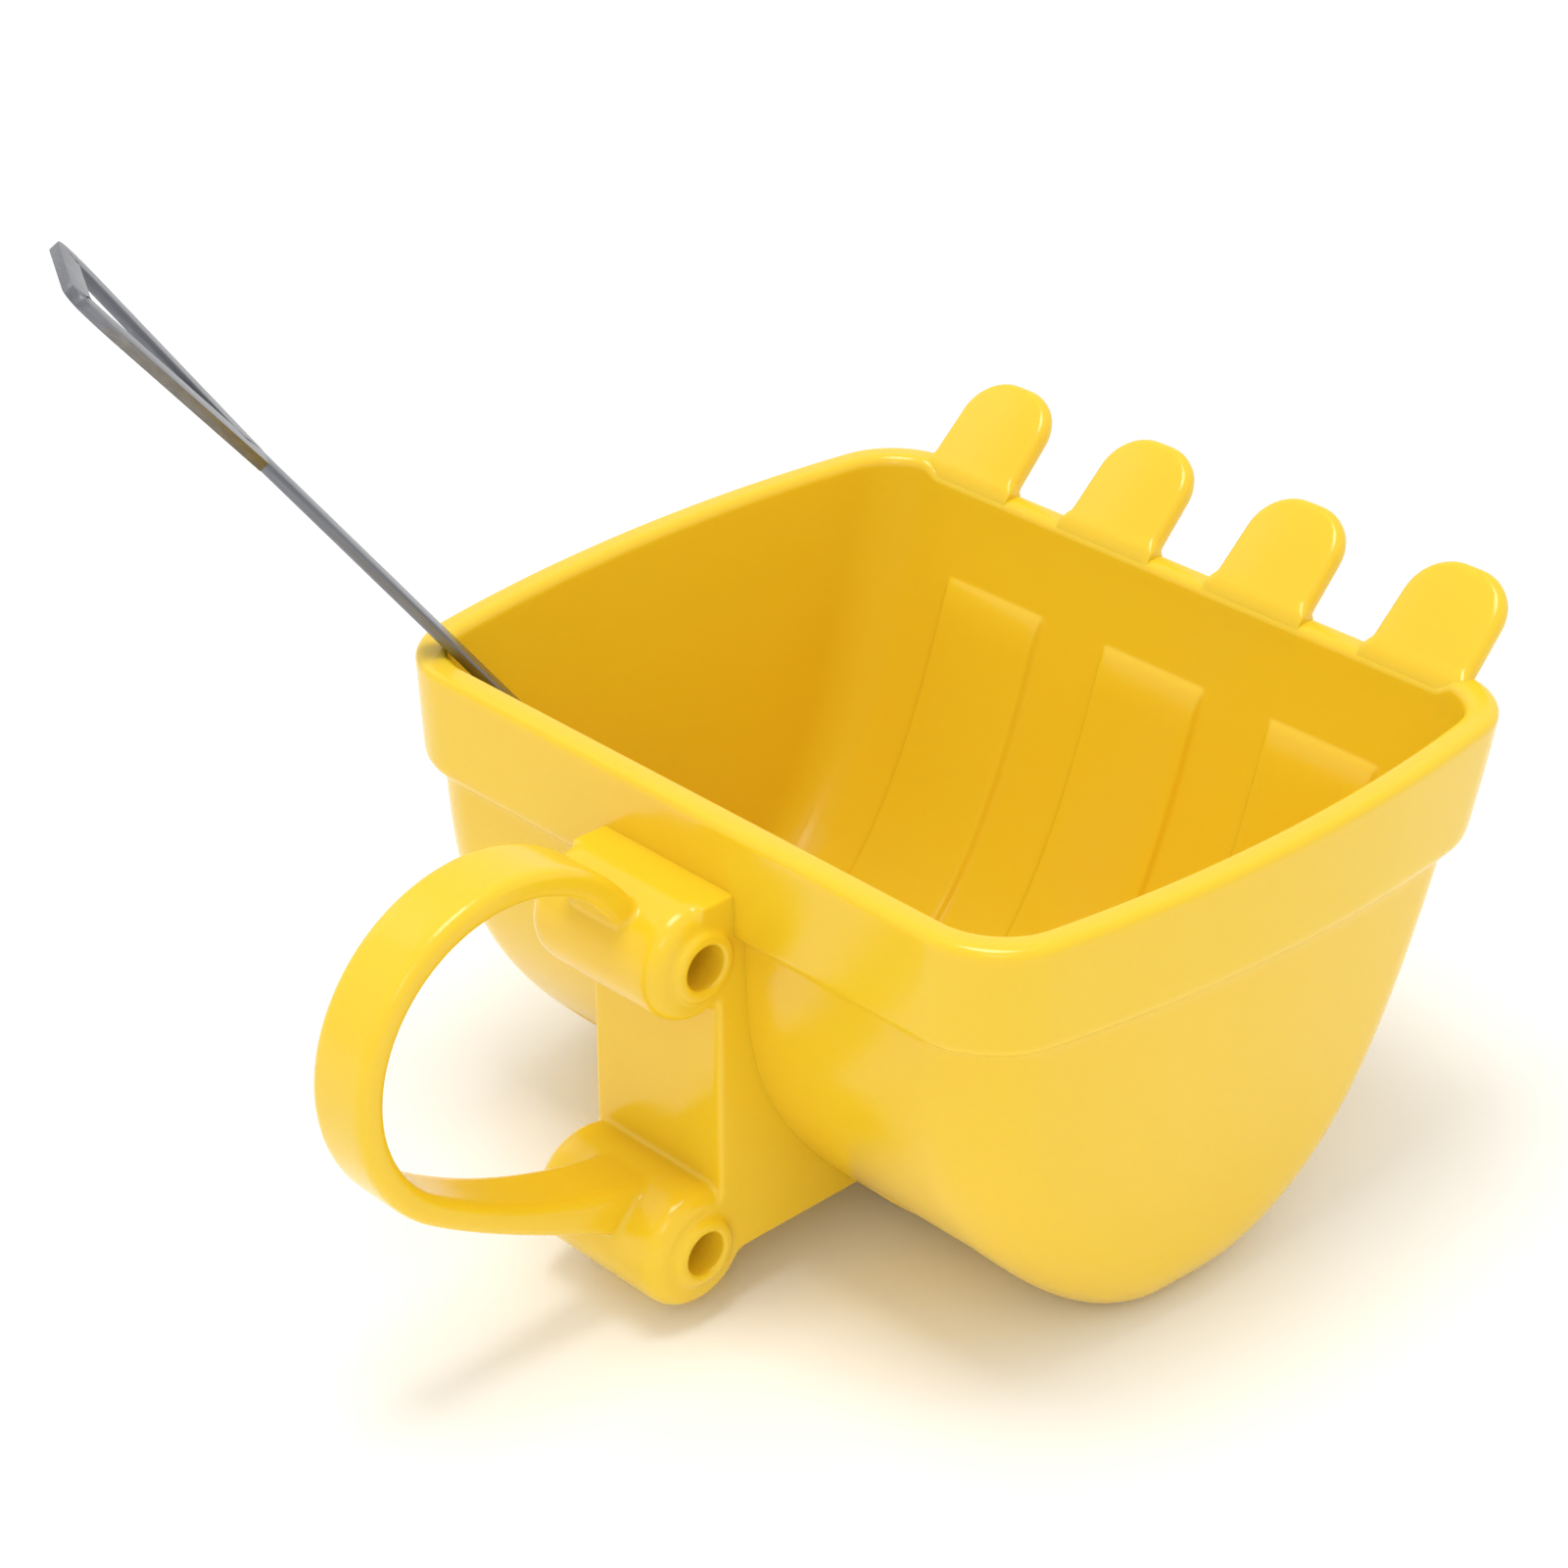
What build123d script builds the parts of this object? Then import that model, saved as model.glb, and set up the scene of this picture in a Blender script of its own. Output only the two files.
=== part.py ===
"""Novelty mug in the form of an excavator bucket, with a small shovel spoon standing in it.

Frame: millimetres, +Z up, +X towards the teeth, +Y to the left of somebody looking along +X.
The origin is on the table, in the middle of the flat that the bucket rests on.

The mug is one plastic moulding. Its functional features are kept as separate solids that meet
face to face. The spoon is one steel pressing, divided at the two ends of its shaft.
"""
import os
from math import cos, radians, sin, tan

from build123d import *

os.makedirs("parts", exist_ok=True)

# ---------------------------------------------------------------- bucket
RIM_Z = 65.9                 # height of the rim above the table
WALL = 2.1                   # wall of the bucket below the band
DRAFT = 4.6                  # the side walls lean in towards the floor by this many degrees
EDGE_R = 8.8                 # round between the side walls and the curved back, floor and front
FLAT_BACK_X = -3.4           # ends of the flat that the bucket stands on
FLAT_FRONT_X = 3.8
BACK_X = -38.0               # outer face of the back wall, under the band
BACK_TURN_Z = 55.2           # the back wall is upright above this height
REAR_CURVE = ((-36.1, 32.0), (-22.6, 11.3))              # X and Z on the outer face, going down
FRONT_X = 50.3               # outer face of the front wall at the rim, under the band
FORE_CURVE = ((26.5, 9.7), (38.4, 27.0), (46.4, 48.8))   # X and Z on the outer face, going up
LIP_SLOPE = 0.12             # the front wall still leans out by this much at the rim
SIDE_BACK_Y = 49.8           # half width at the rim, at the back, under the band
SIDE_MID_Y = 55.2            # in the middle of the bulging side
SIDE_FRONT_Y = 51.4          # and at the front
OVERRUN = 6.0                # how far crossing solids run past the bucket

# ---------------------------------------------------------------- band round the mouth
BAND_PROUD = 1.8             # the band stands out from the wall by this much
BAND_H = 14.8                # height of the band at the back
BAND_TILT = 1.8              # degrees by which the band's lower edge drops towards the front
RIM_R = 1.2                  # rounds on the inner and outer edges of the rim

# ---------------------------------------------------------------- shallow channels under the bucket
CHANNEL_DEPTH = 0.9
CHANNEL_W = 17.0
CHANNEL_PITCH = 28.3
CHANNEL_COUNT = 3
CHANNEL_TOP_Z = 50.0         # ledge at the front, just below the band
CHANNEL_BACK_Z = 13.0        # where a channel runs out on the back

# ---------------------------------------------------------------- teeth
TOOTH_COUNT = 4
TOOTH_PITCH = 25.3
TOOTH_ROOT_W = 15.2
TOOTH_TIP_W = 14.2
TOOTH_H = 8.7                # height above the rim
TOOTH_T = 2.9                # thickness, front to back
TOOTH_LEAN = 44.0            # the teeth lean forwards by this many degrees
TOOTH_FORWARD = 2.2          # at the rim's height they are this far in front of the middle of the lip
TOOTH_TIP_R = 5.9
TOOTH_EDGE_R = 1.3
TOOTH_ROOT_DROP = 2.0        # the teeth start this far below the rim, on the front of the band

# ---------------------------------------------------------------- coupler block and its two pin tubes
BLOCK_HALF_W = 11.2
BLOCK_FACE_X = -42.1         # face of the web between the pin tubes
BLOCK_EDGE_R = 3.0
BLOCK_UNDER_Z = 7.6          # underside of the block, behind the bucket
UPPER_PIN = (-44.7, 50.2)    # X and Z of the upper pin's axis
UPPER_PIN_R = 7.6            # outside of the upper pin tube
LOWER_PIN = (-45.2, 10.4)
LOWER_PIN_R = 8.0
PIN_END_R = 2.4              # rounds on the ends of the tubes
BORE_R = 2.85
COLLAR_R = 4.4
COLLAR_PROUD = 0.9
COLLAR_EDGE_R = 0.5
TUBE_TO_BAND = 0.9           # the tubes stop this far short of the band's outer face

# ---------------------------------------------------------------- rear foot
FOOT_BACK_X = -46.6
FOOT_FRONT_X = -37.6
FOOT_HALF_W = 5.4

# ---------------------------------------------------------------- finger loop
LOOP_C = (-67.0, 45.4)       # X and Z of the middle of the round part
LOOP_R = 20.3                # radius of the middle of the loop's thickness
LOOP_W = 9.6
LOOP_T = 3.6
LOOP_EDGE_R = 1.4
LOOP_START = 38.0            # degrees round from +X where the loop leaves the upper pin tube
LOOP_END = 235.0             # degrees where the round part ends and the lower limb starts
LIMB_END = (-50.0, 15.8)     # the lower limb ends inside the lower pin tube

# ---------------------------------------------------------------- spoon
SPOON_REST = Vector(-35.0, 46.0, RIM_Z + 1.9)            # middle of the shaft where it crosses the rim
SPOON_UP = Vector(-0.536, 0.321, 0.781).normalized()     # along the shaft, towards the grip
SPOON_SIDE = Vector(0.468, 0.882, -0.035)                # roughly across the spoon's sheet
SPOON_T = 1.5
REST_TO_TIP = 80.0           # from the rim down to the tip of the blade
REST_TO_END = 67.0           # from the rim up to the end of the grip
BLADE_L = 44.0
BLADE_W = 27.0
BLADE_POINT_L = 14.0         # length of the blade's round end
BLADE_NECK_W = 25.0          # the blade's straight sides close to this width
BLADE_SHOULDER_L = 5.0
SHAFT_W = 4.3
GRIP_L = 34.0
GRIP_W = 18.8
GRIP_END_L = 5.0             # the grip's sides are parallel over this length
GRIP_BAR = 3.4               # metal left round the opening in the grip


def finish(sub_part, name):
    """Label a finished sub-part and write its STEP file."""
    sub_part.part.label = name
    export_step(sub_part.part, f"parts/{name}.step")


# ---------------------------------------------------------------- forms that the bucket is cut from
def moved_out(knots, tangents, grow):
    """Spline through the knots, moved to its right-hand side, which is the bucket's outside, by grow."""
    outer_line = Spline(*knots, tangents=tangents, mode=Mode.PRIVATE)
    points = []
    for knot in knots:
        along = outer_line % outer_line.param_at_point(knot)
        points.append(Vector(*knot) + Vector(along.Y, -along.X).normalized() * grow)
    return Spline(*points, tangents=tangents)


def side_profile(grow):
    """Outer line of the bucket seen from the side, moved outwards by grow."""
    with BuildSketch(Plane.XZ) as side:
        with BuildLine():
            rear = moved_out(((BACK_X, BACK_TURN_Z), *REAR_CURVE, (FLAT_BACK_X, 0)), ((0, -1), (1, 0)), grow)
            fore = moved_out(
                ((FLAT_FRONT_X, 0), *FORE_CURVE, (FRONT_X, RIM_Z)), ((1, 0), (LIP_SLOPE, 1)), grow
            )
            Line(rear @ 1, fore @ 0)
            lip = Line(fore @ 1, fore @ 1 + (fore % 1) * OVERRUN)
            Polyline(lip @ 1, ((rear @ 0).X, (lip @ 1).Y), rear @ 0)
        make_face()
    return side.sketch


def plan_outline(grow):
    """Bucket seen from above, with its bulging sides, running on past the back and the front."""
    middle_x = (BACK_X + FRONT_X) / 2
    above_rim = 2 * OVERRUN
    grow += above_rim * tan(radians(DRAFT))
    with BuildSketch(Plane.XY.offset(RIM_Z + above_rim)) as plan:
        with BuildLine():
            side = ThreePointArc(
                (BACK_X, SIDE_BACK_Y + grow), (middle_x, SIDE_MID_Y + grow), (FRONT_X, SIDE_FRONT_Y + grow)
            )
            to_front = Line(side @ 1, side @ 1 + (side % 1) * 3 * OVERRUN)
            to_back = Line(side @ 0, side @ 0 - (side % 0) * 3 * OVERRUN)
            Line(to_front @ 1, (to_front @ 1).X * Vector(1, 0))
            Line(to_back @ 1, (to_back @ 1).X * Vector(1, 0))
            mirror(about=Plane.XZ)
        make_face()
    return plan.sketch


def bucket_form(grow):
    """Solid bucket, larger all round than the outer face of the wall by grow.

    Its side rounds are smaller where it is smaller, but never larger than EDGE_R.
    """
    with BuildPart() as form:
        extrude(side_profile(grow), amount=SIDE_MID_Y + OVERRUN, both=True)
        extrude(plan_outline(grow), amount=-(RIM_Z + 4 * OVERRUN), taper=DRAFT, mode=Mode.INTERSECT)
        by_width = form.faces().sort_by(Axis.Y)
        side_edges = by_width[0].edges() + by_width[-1].edges()
        below_top = RIM_Z + 0.8 * OVERRUN
        fillet(side_edges.filter_by(lambda edge: edge.center().Z < below_top), radius=EDGE_R + min(grow, 0))
    return form.part


def full_width_slab(corners):
    """Slab through the whole width, from corner points given as X and Z."""
    with BuildPart() as slab:
        with BuildSketch(Plane.XZ):
            with BuildLine():
                Polyline(*corners, close=True)
            make_face()
        extrude(amount=SIDE_MID_Y + 2 * OVERRUN, both=True)
    return slab.part


def channel_strips(inset):
    """The strips, CHANNEL_DEPTH thick, that start inset inside the bucket's outer face."""
    with BuildPart() as strips:
        for number in range(CHANNEL_COUNT):
            middle_y = (number - (CHANNEL_COUNT - 1) / 2) * CHANNEL_PITCH
            strip_sketch = side_profile(-inset).moved(Location((0, middle_y, 0)))
            extrude(strip_sketch, amount=CHANNEL_W / 2, both=True)
        extrude(side_profile(-inset - CHANNEL_DEPTH), amount=SIDE_MID_Y, both=True, mode=Mode.SUBTRACT)
        add(full_width_slab(CHANNEL_REACH), mode=Mode.INTERSECT)
    return strips.part


FAR = 3 * OVERRUN + FRONT_X
BAND_BACK_Z = RIM_Z - BAND_H
BAND_FRONT_Z = BAND_BACK_Z - (FAR - BACK_X) * tan(radians(BAND_TILT))
BELOW_RIM = ((-FAR, RIM_Z), (-FAR, -OVERRUN), (FAR, -OVERRUN), (FAR, RIM_Z))
BAND_REACH = ((-FAR, RIM_Z), (-FAR, BAND_BACK_Z), (BACK_X, BAND_BACK_Z), (FAR, BAND_FRONT_Z), (FAR, RIM_Z))
CHANNEL_REACH = (
    (-FAR, CHANNEL_BACK_Z),
    (-FAR, -OVERRUN),
    (FAR, -OVERRUN),
    (FAR, CHANNEL_TOP_Z),
    (0, CHANNEL_TOP_Z),
    (0, CHANNEL_BACK_Z),
)
STANDING_LAND = (
    (FLAT_BACK_X, -OVERRUN),
    (FLAT_FRONT_X, -OVERRUN),
    (FLAT_FRONT_X, OVERRUN),
    (FLAT_BACK_X, OVERRUN),
)
wall_form = bucket_form(0)
band_form = bucket_form(BAND_PROUD)
hollow_form = bucket_form(-WALL)

# ---------------------------------------------------------------- bucket shell
with BuildPart() as hollow:
    add(hollow_form)
    add(channel_strips(WALL), mode=Mode.SUBTRACT)

with BuildPart() as channels:
    add(channel_strips(0))
    add(full_width_slab(STANDING_LAND), mode=Mode.SUBTRACT)

with BuildPart() as bucket_shell:
    add(wall_form)
    add(channels.part, mode=Mode.SUBTRACT)
    add(hollow.part, mode=Mode.SUBTRACT)
    add(full_width_slab(BELOW_RIM), mode=Mode.INTERSECT)
    mouth = bucket_shell.faces().sort_by(Axis.Z)[-1]
    fillet(mouth.inner_wires()[0].edges(), radius=RIM_R)
finish(bucket_shell, "bucket_shell")

# ---------------------------------------------------------------- band round the mouth
with BuildPart() as rim_band:
    add(band_form)
    add(wall_form, mode=Mode.SUBTRACT)
    add(full_width_slab(BAND_REACH), mode=Mode.INTERSECT)
    rim_top = rim_band.faces().sort_by(Axis.Z)[-1]
    fillet(rim_top.outer_wire().edges(), radius=RIM_R)
finish(rim_band, "rim_band")

# ---------------------------------------------------------------- teeth, numbered from the left
LIP_MIDDLE_X = FRONT_X + BAND_PROUD - (WALL + BAND_PROUD) / 2
TOOTH_X = LIP_MIDDLE_X + TOOTH_FORWARD
TOOTH_LENGTH = TOOTH_H / cos(radians(TOOTH_LEAN))
TOOTH_FACING = Vector(1, 0, 0).rotate(Axis.Y, TOOTH_LEAN)
for number in range(TOOTH_COUNT):
    middle_y = ((TOOTH_COUNT - 1) / 2 - number) * TOOTH_PITCH
    root_plane = Plane(origin=(TOOTH_X, middle_y, RIM_Z), x_dir=(0, 1, 0), z_dir=TOOTH_FACING)
    with BuildPart() as tooth:
        with BuildSketch(root_plane):
            with BuildLine():
                Polyline(
                    (-TOOTH_ROOT_W / 2, -2 * TOOTH_T),
                    (TOOTH_ROOT_W / 2, -2 * TOOTH_T),
                    (TOOTH_ROOT_W / 2, 0),
                    (TOOTH_TIP_W / 2, TOOTH_LENGTH),
                    (-TOOTH_TIP_W / 2, TOOTH_LENGTH),
                    (-TOOTH_ROOT_W / 2, 0),
                    close=True,
                )
            outline = make_face()
            fillet(outline.vertices().group_by(Axis.Y)[-1], radius=TOOTH_TIP_R)
        extrude(amount=TOOTH_T / 2, both=True)
        broad_faces = tooth.faces().sort_by(SortBy.AREA)[-2:]
        fillet(broad_faces.edges(), radius=TOOTH_EDGE_R)
        split(bisect_by=Plane.XY.offset(RIM_Z - TOOTH_ROOT_DROP), keep=Keep.TOP)
        add(rim_band.part, mode=Mode.SUBTRACT)
        add(bucket_shell.part, mode=Mode.SUBTRACT)
    finish(tooth, f"tooth_{number + 1}")

# ---------------------------------------------------------------- pin tubes
TUBE_LIMIT = Plane.YZ.offset(BACK_X - BAND_PROUD - TUBE_TO_BAND)


def pin_tube(centre, radius):
    """Cross tube with rounded ends, a raised collar at each end and a bore right through it."""
    across = Plane(origin=(centre[0], 0, centre[1]), z_dir=(0, 1, 0))
    with BuildPart() as tube:
        with BuildSketch(across):
            Circle(radius)
        extrude(amount=BLOCK_HALF_W, both=True)
        fillet(tube.edges().filter_by(GeomType.CIRCLE), radius=PIN_END_R)
        with BuildSketch(across):
            Circle(COLLAR_R)
        extrude(amount=BLOCK_HALF_W + COLLAR_PROUD, both=True)
        ends = tube.faces().sort_by(Axis.Y)
        fillet(ends[0].edges() + ends[-1].edges(), radius=COLLAR_EDGE_R)
        with BuildSketch(across):
            Circle(BORE_R)
        extrude(amount=BLOCK_HALF_W + OVERRUN, both=True, mode=Mode.SUBTRACT)
        split(bisect_by=TUBE_LIMIT, keep=Keep.BOTTOM)
    return tube


def tube_core(centre, radius):
    """Plain cylinder the size of a pin tube, used to cut its neighbours back to it."""
    with BuildPart() as core:
        with BuildSketch(Plane(origin=(centre[0], 0, centre[1]), z_dir=(0, 1, 0))):
            Circle(radius)
        extrude(amount=BLOCK_HALF_W + OVERRUN, both=True)
        split(bisect_by=TUBE_LIMIT, keep=Keep.BOTTOM)
    return core.part


finish(pin_tube(UPPER_PIN, UPPER_PIN_R), "upper_pin_tube")
finish(pin_tube(LOWER_PIN, LOWER_PIN_R), "lower_pin_tube")
upper_core = tube_core(UPPER_PIN, UPPER_PIN_R)
lower_core = tube_core(LOWER_PIN, LOWER_PIN_R)

# ---------------------------------------------------------------- coupler block
BLOCK_TOP_Z = UPPER_PIN[1] + UPPER_PIN_R
with BuildPart() as coupler_block:
    with BuildSketch(Plane.XZ):
        with BuildLine():
            Polyline(
                (UPPER_PIN[0], BLOCK_TOP_Z),
                (BACK_X + OVERRUN, BLOCK_TOP_Z),
                (FLAT_BACK_X - OVERRUN, BLOCK_UNDER_Z),
                (LOWER_PIN[0], BLOCK_UNDER_Z),
                LOWER_PIN,
                (BLOCK_FACE_X, LOWER_PIN[1]),
                (BLOCK_FACE_X, UPPER_PIN[1]),
                UPPER_PIN,
                close=True,
            )
        make_face()
    extrude(amount=BLOCK_HALF_W, both=True)
    web_edges = coupler_block.edges().filter_by(Axis.Z).group_by(Axis.X)[0]
    fillet(web_edges, radius=BLOCK_EDGE_R)
    add(wall_form, mode=Mode.SUBTRACT)
    add(rim_band.part, mode=Mode.SUBTRACT)
    add(upper_core, mode=Mode.SUBTRACT)
    add(lower_core, mode=Mode.SUBTRACT)
finish(coupler_block, "coupler_block")

# ---------------------------------------------------------------- rear foot
with BuildPart() as rear_foot:
    with BuildSketch(Plane.XZ):
        with BuildLine():
            Polyline(
                (FOOT_BACK_X, 0),
                (FOOT_FRONT_X, 0),
                (FOOT_FRONT_X, BLOCK_UNDER_Z),
                (FOOT_BACK_X, BLOCK_UNDER_Z),
                close=True,
            )
        make_face()
    extrude(amount=FOOT_HALF_W, both=True)
    add(lower_core, mode=Mode.SUBTRACT)
    add(coupler_block.part, mode=Mode.SUBTRACT)
finish(rear_foot, "rear_foot")


# ---------------------------------------------------------------- finger loop
def on_loop(degrees):
    """Point X, Z on the middle line of the round part of the loop."""
    return (LOOP_C[0] + LOOP_R * cos(radians(degrees)), LOOP_C[1] + LOOP_R * sin(radians(degrees)))


with BuildPart() as finger_loop:
    with BuildLine(Plane.XZ) as loop_path:
        halfway = (LOOP_START + LOOP_END) / 2
        round_part = ThreePointArc(on_loop(LOOP_START), on_loop(halfway), on_loop(LOOP_END))
        TangentArc(round_part @ 1, LIMB_END, tangent=round_part % 1)
    with BuildSketch(Plane(origin=loop_path.line @ 0, x_dir=(0, 1, 0), z_dir=loop_path.line % 0)):
        RectangleRounded(LOOP_W, LOOP_T, LOOP_EDGE_R)
    sweep(transition=Transition.ROUND)
    add(upper_core, mode=Mode.SUBTRACT)
    add(lower_core, mode=Mode.SUBTRACT)
    add(coupler_block.part, mode=Mode.SUBTRACT)
finish(finger_loop, "finger_loop")

# ---------------------------------------------------------------- spoon
SPOON_FACE = SPOON_SIDE.cross(SPOON_UP).normalized()
SPOON_ACROSS = SPOON_UP.cross(SPOON_FACE)
SHAFT_START = BLADE_L - REST_TO_TIP
SHAFT_END = REST_TO_END - GRIP_L


def spoon_plane(along):
    """Plane of the spoon's sheet, with its origin on the spoon's middle line, along up from the rim."""
    return Plane(origin=SPOON_REST + SPOON_UP * along, x_dir=SPOON_ACROSS, z_dir=SPOON_FACE)


with BuildPart() as spoon_blade:
    with BuildSketch(spoon_plane(-REST_TO_TIP)):
        with BuildLine():
            ThreePointArc((-BLADE_W / 2, BLADE_POINT_L), (0, 0), (BLADE_W / 2, BLADE_POINT_L))
            Polyline(
                (BLADE_W / 2, BLADE_POINT_L),
                (BLADE_NECK_W / 2, BLADE_L - BLADE_SHOULDER_L),
                (SHAFT_W / 2, BLADE_L),
                (-SHAFT_W / 2, BLADE_L),
                (-BLADE_NECK_W / 2, BLADE_L - BLADE_SHOULDER_L),
                (-BLADE_W / 2, BLADE_POINT_L),
            )
        make_face()
    extrude(amount=SPOON_T / 2, both=True)
finish(spoon_blade, "spoon_blade")

with BuildPart() as spoon_shaft:
    with BuildSketch(spoon_plane((SHAFT_START + SHAFT_END) / 2)):
        Rectangle(SHAFT_W, SHAFT_END - SHAFT_START)
    extrude(amount=SPOON_T / 2, both=True)
finish(spoon_shaft, "spoon_shaft")

with BuildPart() as spoon_grip:
    with BuildSketch(spoon_plane(SHAFT_END)):
        with BuildLine():
            Polyline(
                (-SHAFT_W / 2, 0),
                (SHAFT_W / 2, 0),
                (GRIP_W / 2, GRIP_L - GRIP_END_L),
                (GRIP_W / 2, GRIP_L),
                (-GRIP_W / 2, GRIP_L),
                (-GRIP_W / 2, GRIP_L - GRIP_END_L),
                close=True,
            )
        make_face()
        offset(amount=-GRIP_BAR, mode=Mode.SUBTRACT)
    extrude(amount=SPOON_T / 2, both=True)
finish(spoon_grip, "spoon_grip")
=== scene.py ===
"""Looks of the bucket-shaped mug and its spoon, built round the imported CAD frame."""

from __future__ import annotations

import logging
from dataclasses import dataclass, field
from enum import Enum
from math import cos, pi, radians, sin, tan
from typing import Callable, Iterable, Sequence

import bmesh
import bpy
import numpy as np
from bmesh.types import BMEdge, BMesh, BMFace, BMVert
from mathutils import Matrix, Vector

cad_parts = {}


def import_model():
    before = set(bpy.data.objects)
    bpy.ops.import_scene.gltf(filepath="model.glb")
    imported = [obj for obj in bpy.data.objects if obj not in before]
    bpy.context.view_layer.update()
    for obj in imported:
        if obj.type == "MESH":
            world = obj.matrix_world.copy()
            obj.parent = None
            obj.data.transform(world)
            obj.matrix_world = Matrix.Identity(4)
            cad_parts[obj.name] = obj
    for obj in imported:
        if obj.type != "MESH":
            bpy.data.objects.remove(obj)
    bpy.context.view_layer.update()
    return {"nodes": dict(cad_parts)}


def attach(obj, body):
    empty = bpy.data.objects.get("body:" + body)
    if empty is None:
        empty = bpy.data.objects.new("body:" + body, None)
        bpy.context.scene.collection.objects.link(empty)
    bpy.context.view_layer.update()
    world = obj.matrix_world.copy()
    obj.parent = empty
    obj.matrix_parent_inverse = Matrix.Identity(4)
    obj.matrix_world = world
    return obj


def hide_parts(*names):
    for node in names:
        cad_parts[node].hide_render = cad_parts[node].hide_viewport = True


LOG = logging.getLogger("mug")
MM = 0.001


class Body(Enum):
    """Moving bodies of the frame."""

    MUG = "mug"
    SPOON = "spoon"


class Slot(Enum):
    """Material slots of the record."""

    PLASTIC = "yellow_plastic"
    STEEL = "spoon_steel"


class Rounding(Enum):
    """What a bevel rounds."""

    EDGES = "EDGES"
    CORNERS = "VERTICES"


# ------------------------------------------------------------------ shared helpers
def linear(hex_colour: str) -> tuple[float, float, float, float]:
    """Turn an sRGB hex colour into linear RGBA.

    Args:
        hex_colour: Six hex digits, such as "F2B90F".

    Returns:
        The linear colour with full alpha.
    """
    channels = [int(hex_colour[i:i + 2], 16) / 255 for i in (0, 2, 4)]
    linear_channels = [c / 12.92 if c <= 0.04045 else ((c + 0.055) / 1.055) ** 2.4 for c in channels]
    return (*linear_channels, 1.0)


def add_node(
    material: bpy.types.Material,
    kind: str,
    settings: dict[str, object] | None = None,
    inputs: dict[str | int, object] | None = None,
) -> bpy.types.Node:
    """Add a shader node, with its settings, values and links.

    Args:
        material: Material whose tree gets the node.
        kind: The node's type name.
        settings: Attributes of the node.
        inputs: Input sockets by name or number; an output socket is linked and anything else is a value.

    Returns:
        The new node.
    """
    node = material.node_tree.nodes.new(kind)
    for name, value in (settings or {}).items():
        setattr(node, name, value)
    for name, value in (inputs or {}).items():
        if isinstance(value, bpy.types.NodeSocket):
            material.node_tree.links.new(value, node.inputs[name])
        else:
            node.inputs[name].default_value = value
    return node


def smoothstep(low: float, high: float, value: np.ndarray) -> np.ndarray:
    """Ease from 0 at low to 1 at high."""
    share = np.clip((value - low) / (high - low), 0, 1)
    return share * share * (3 - 2 * share)


def shade(built: BMesh, smooth_angle: float) -> None:
    """Shade faces smooth, and draw edges sharper than this many degrees crisp."""
    for edge in built.edges:
        edge.smooth = len(edge.link_faces) != 2 or edge.calc_face_angle(0) < radians(smooth_angle)
    for face in built.faces:
        face.smooth = True


def piece_from(mesh_builder: BMesh, name: str, smooth_angle: float = 40) -> bpy.types.Object:
    """Make a shown object of a finished bmesh drawn in millimetres.

    Args:
        mesh_builder: The bmesh, which is freed.
        name: Name of the piece.
        smooth_angle: Edges sharper than this many degrees are drawn crisp.

    Returns:
        The object, at the origin, in metres.
    """
    bmesh.ops.scale(mesh_builder, vec=(MM, MM, MM), verts=mesh_builder.verts)
    shade(mesh_builder, smooth_angle)
    mesh = bpy.data.meshes.new(name)
    mesh_builder.to_mesh(mesh)
    mesh_builder.free()
    piece = bpy.data.objects.new(name, mesh)
    bpy.context.scene.collection.objects.link(piece)
    return piece


def apply_modifiers(piece: bpy.types.Object) -> None:
    """Make a piece's modifiers permanent."""
    graph = bpy.context.evaluated_depsgraph_get()
    mesh = bpy.data.meshes.new_from_object(piece.evaluated_get(graph))
    piece.modifiers.clear()
    piece.data = mesh


def settle(
    piece: bpy.types.Object, body: Body, material: bpy.types.Material, nodes: Sequence[str]
) -> None:
    """Dress a piece, put it on its body and report it.

    Args:
        piece: The finished piece.
        body: The body it moves with.
        material: Its finish.
        nodes: CAD nodes that it stands for.
    """
    piece.data.materials.clear()
    piece.data.materials.append(material)
    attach(piece, body.value)
    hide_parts(*nodes)
    triangles = sum(len(face.vertices) - 2 for face in piece.data.polygons)
    LOG.info("%s rides on %s, %d triangles", piece.name, body.value, triangles)


def face_of(mesh_builder: BMesh, corners: Iterable[Sequence[float]]) -> BMFace:
    """Add one face from a few corners."""
    return mesh_builder.faces.new([mesh_builder.verts.new(corner) for corner in corners])


def spread(count: int, pitch: float) -> list[float]:
    """Places across the mug of a centred row of features."""
    return [(number - (count - 1) / 2) * pitch for number in range(count)]


def only(kind: type, geometry: Iterable) -> list:
    """Items of one kind among what an operator returned."""
    return [item for item in geometry if isinstance(item, kind)]


def raise_faces(built: BMesh, faces: Iterable[BMFace], rise: Sequence[float]) -> None:
    """Extrude faces and move the new ones by rise."""
    grown = bmesh.ops.extrude_face_region(built, geom=list(faces))["geom"]
    bmesh.ops.translate(built, verts=only(BMVert, grown), vec=rise)


def round_off(
    built: BMesh, geometry: Iterable, radius: float, segments: int,
    what: Rounding = Rounding.EDGES, clamped: bool = False,
) -> list[BMVert]:
    """Bevel edges or corners to a circular round.

    Args:
        built: The bmesh that holds them.
        geometry: The edges or corners.
        radius: How far back the round starts.
        segments: Number of its facets.
        what: Whether edges or corners are rounded.
        clamped: True where rounds must not run into each other.

    Returns:
        The new vertices.
    """
    return bmesh.ops.bevel(
        built, geom=list(geometry), offset=radius, segments=segments, profile=0.5, affect=what.value,
        clamp_overlap=clamped, material=-1,
    )["verts"]


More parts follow.
